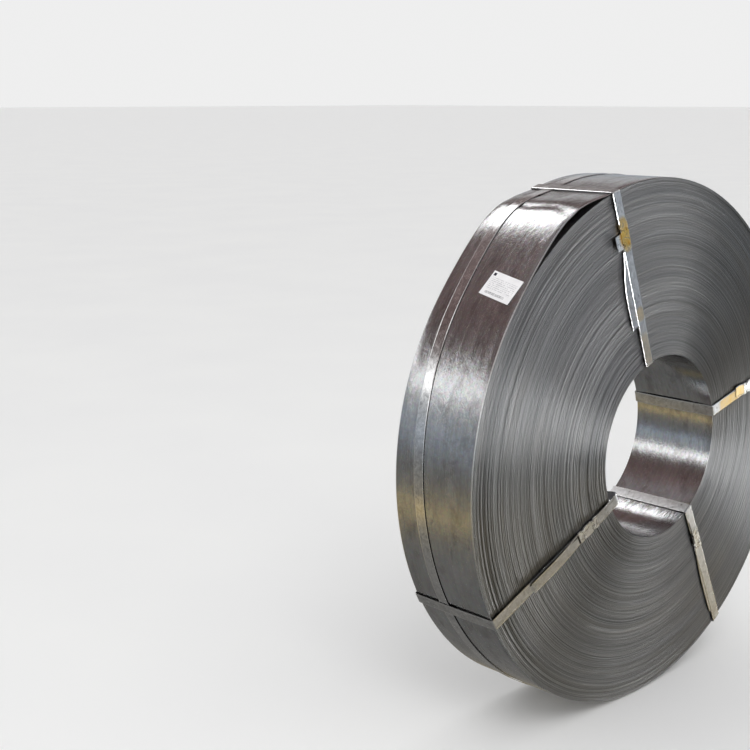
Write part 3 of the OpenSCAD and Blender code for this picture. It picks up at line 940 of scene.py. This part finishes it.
def make_world():
    """A plain pale studio for the floor, and a banded one with soft panels for reflections."""
    world = bpy.data.worlds.new("studio")
    bpy.context.scene.world = world
    world.use_nodes = True
    world.cycles.sampling_method = "NONE"
    n = Nodes(world.node_tree)
    direction = n.node("ShaderNodeTexCoord").outputs["Generated"]
    height = n.node("ShaderNodeSeparateXYZ", {0: direction}).outputs["Z"]
    brightest = max(max(colour) for _, colour in STUDIO)
    stops = [((z + 1) / 2, tuple(c / brightest for c in colour)) for z, colour in STUDIO]
    studio = n.ramp(n.levels(height, -1, 1, 0, 1), stops, "EASE")
    studio = n.vector("MULTIPLY", studio, (brightest,) * 3)
    near_side = n.vector("DOT_PRODUCT", direction, level_way(NEAR_SIDE_AZIMUTH), "Value")
    near_side = n.levels(near_side, 0.0, 0.5, 0, 1, smooth=True)
    studio = n.vector("MULTIPLY", studio, n.mix(near_side, (1, 1, 1, 1), NEAR_SIDE_TINT + (1,)))
    rising = n.levels(height, BAND_LOW - BAND_EDGE, BAND_LOW + BAND_EDGE, 0, 1, smooth=True)
    falling = n.levels(height, BAND_HIGH - BAND_EDGE, BAND_HIGH + BAND_EDGE, 1, 0, smooth=True)
    facing = n.math("ABSOLUTE", n.vector("DOT_PRODUCT", direction, level_way(BAND_AZIMUTH), "Value"))
    facing = n.levels(facing, BAND_FADE_START, BAND_FADE_END, BAND_LEAST, 1, smooth=True)
    band = n.math("MULTIPLY", n.math("MULTIPLY", rising, falling), facing)
    studio = n.mix(band, studio, (BAND_STRENGTH,) * 3 + (1,))
    for azimuth, elevation, half_w, half_h, strength in PANELS:
        a, e = math.radians(azimuth), math.radians(elevation)
        middle = Vector((math.sin(a) * math.cos(e), math.cos(a) * math.cos(e), math.sin(e)))
        right = Vector((math.cos(a), -math.sin(a), 0))
        up = right.cross(middle)
        masks = []
        for axis, half in ((right, half_w), (up, half_h)):
            off = n.math("ABSOLUTE", n.vector("DOT_PRODUCT", direction, tuple(axis), "Value"))
            edge = math.sin(math.radians(half))
            masks.append(n.levels(off, edge * 0.75, edge * 1.25, 1, 0, smooth=True))
        front = n.math("GREATER_THAN", n.vector("DOT_PRODUCT", direction, tuple(middle), "Value"), 0)
        mask = n.math("MULTIPLY", n.math("MULTIPLY", masks[0], masks[1]), front)
        studio = n.mix(mask, studio, (strength,) * 3 + (1,))
    glossy = n.node("ShaderNodeLightPath").outputs["Is Glossy Ray"]
    background = n.tree.nodes["Background"]
    n.put(background.inputs["Color"], n.mix(glossy, (PALE, PALE, PALE, 1), studio))


def area_light(name, place, target, size, power):
    light = bpy.data.lights.new(name, "AREA")
    light.shape = "RECTANGLE"
    light.size, light.size_y = size
    light.energy = power
    lamp = bpy.data.objects.new(name, light)
    lamp.location = place
    direction = Vector(target) - Vector(place)
    lamp.rotation_mode = "QUATERNION"
    lamp.rotation_quaternion = direction.to_track_quat("-Z", "Y")
    lamp.visible_glossy = False
    bpy.context.scene.collection.objects.link(lamp)


def make_camera():
    yaw, pitch = math.radians(CAMERA_YAW), math.radians(CAMERA_PITCH)
    forward = Vector((math.sin(yaw) * math.cos(pitch), math.cos(yaw) * math.cos(pitch), -math.sin(pitch)))
    right = Vector((math.cos(yaw), -math.sin(yaw), 0))
    up = right.cross(forward)
    data = bpy.data.cameras.new("camera")
    data.sensor_width = 36
    data.lens = CAMERA_LENS
    camera = bpy.data.objects.new("camera", data)
    camera.location = -(forward + right * PAN_RIGHT + up * PAN_UP) * CAMERA_DISTANCE
    camera.rotation_mode = "QUATERNION"
    camera.rotation_quaternion = forward.to_track_quat("-Z", "Y")
    bpy.context.scene.collection.objects.link(camera)
    bpy.context.scene.camera = camera


# ---- The whole model ------------------------------------------------------------------------
def on_strap(name, radius, side=0.0, level=1):
    """A place on an eye strap's near side, its radius and side in mm."""
    angle, shift = EYE_STRAPS[name][:2]
    place = radius * MM * radial(angle) + (shift + side * MM) * sideways(angle)
    return place + near_y(radius * MM, level) * ALONG_BORE


# Yellow spots: strap, radius and reach in mm, strength
YELLOW = [("top", 640, 32, 0.9), ("top", 612, 32, 1.0), ("top", 590, 22, 0.8), ("top", 400, 24, 0.5),
          ("top", 300, 55, 0.35), ("right", 330, 45, 0.8), ("right", 400, 60, 0.9), ("right", 480, 50, 0.7)]
# Painted shade, near-black lines where shadow falls in gaps and recesses: strap, its layer, (radius, side)
# where one starts and ends, and reach, in mm
PAINTED_SHADE = [("lower_left", 0, (398, -9.5), (590, -8), 3.6), ("lower_left", 1, (397, -16), (397, 16), 4),
         ("lower_right", 1, (302, -15), (382, -15), 7), ("top", 0, (712, 16), (724, 16), 7)]
yellow_spots = [(on_strap(name, radius), reach * MM, strength) for name, radius, reach, strength in YELLOW]
painted_shade = [(on_strap(name, *start, level), on_strap(name, *end, level), reach * MM)
         for name, level, start, end, reach in PAINTED_SHADE]

sheet = galvanised("galvanised_sheet", tone=0.52, low_rough=0.10, high_rough=0.24, waviness=1.0)
bore_sheet = galvanised("galvanised_bore", tone=0.52, low_rough=0.05, high_rough=0.13, waviness=0.7)
edges = strip_edges("strip_edges")
edge = cut_edge("cut_edge", dark=0.5, light=0.85, low_rough=0.25, high_rough=0.45)
strap_edge = cut_edge("strap_edge", dark=0.7, light=0.97, low_rough=0.16, high_rough=0.3)
strap_finish = strapping("strap_finish", (0.60, 0.605, 0.61), low_rough=0.26, high_rough=0.40,
                         stain=0.18, yellow_spots=yellow_spots, painted_shade=painted_shade)
belly_finish = strapping("belly_strap_finish", (0.66,) * 3, low_rough=0.10, high_rough=0.22, stain=0.0)
seal_finish = strapping("seal_finish", (0.76, 0.76, 0.75), low_rough=0.22, high_rough=0.36,
                        stain=0.2, yellow_spots=yellow_spots[:3], painted_shade=painted_shade)

coil_body(edges)
outer_wrap(sheet, edge)
inner_wrap(bore_sheet, edge)
for strap_name in EYE_STRAPS:
    eye_strap(strap_name, strap_finish, strap_edge)
    eye_seal(strap_name, seal_finish)
top_clip(seal_finish)
belly_strap(belly_finish, strap_edge)
belly_seal(seal_finish)
label(printed_paper("printed_paper"))
make_floor()
make_world()
area_light("key", KEY_PLACE, (0, 0, 0), KEY_SIZE, KEY_POWER)
make_camera()
bpy.context.scene.view_settings.view_transform = "Standard"
